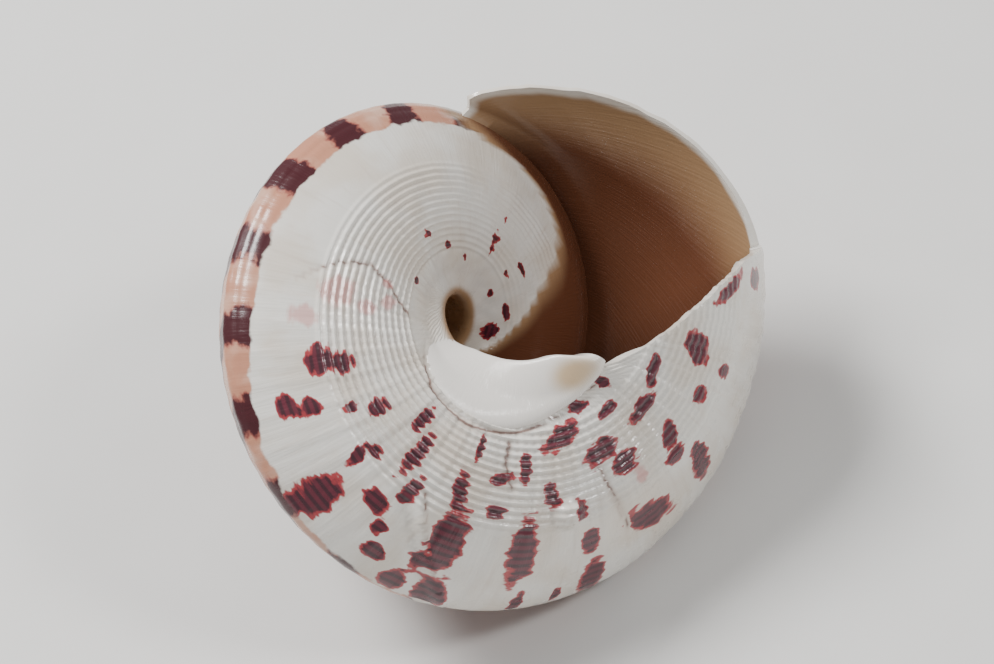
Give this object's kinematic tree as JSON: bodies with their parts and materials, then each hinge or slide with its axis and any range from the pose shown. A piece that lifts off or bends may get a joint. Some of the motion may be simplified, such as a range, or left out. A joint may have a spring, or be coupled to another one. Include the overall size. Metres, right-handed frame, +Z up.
{
  "type": "sea snail shell",
  "caption": "Empty conical top shell lying on its side, with a rounded base, a toothed columella and an open mouth.",
  "frame": {"origin": "middle of the bounding box on the ground, under the lying shell", "axes": "+Z up from the ground; -Y towards the viewer, who sees the base and the mouth; the spire points away from the viewer"},
  "size_m": [0.0544, 0.0474, 0.0412],
  "materials": {
    "shell": "glossy off-white with maroon marks"
  },
  "bodies": {
    "root": {"shell": "shell"}
  },
  "joints": []
}
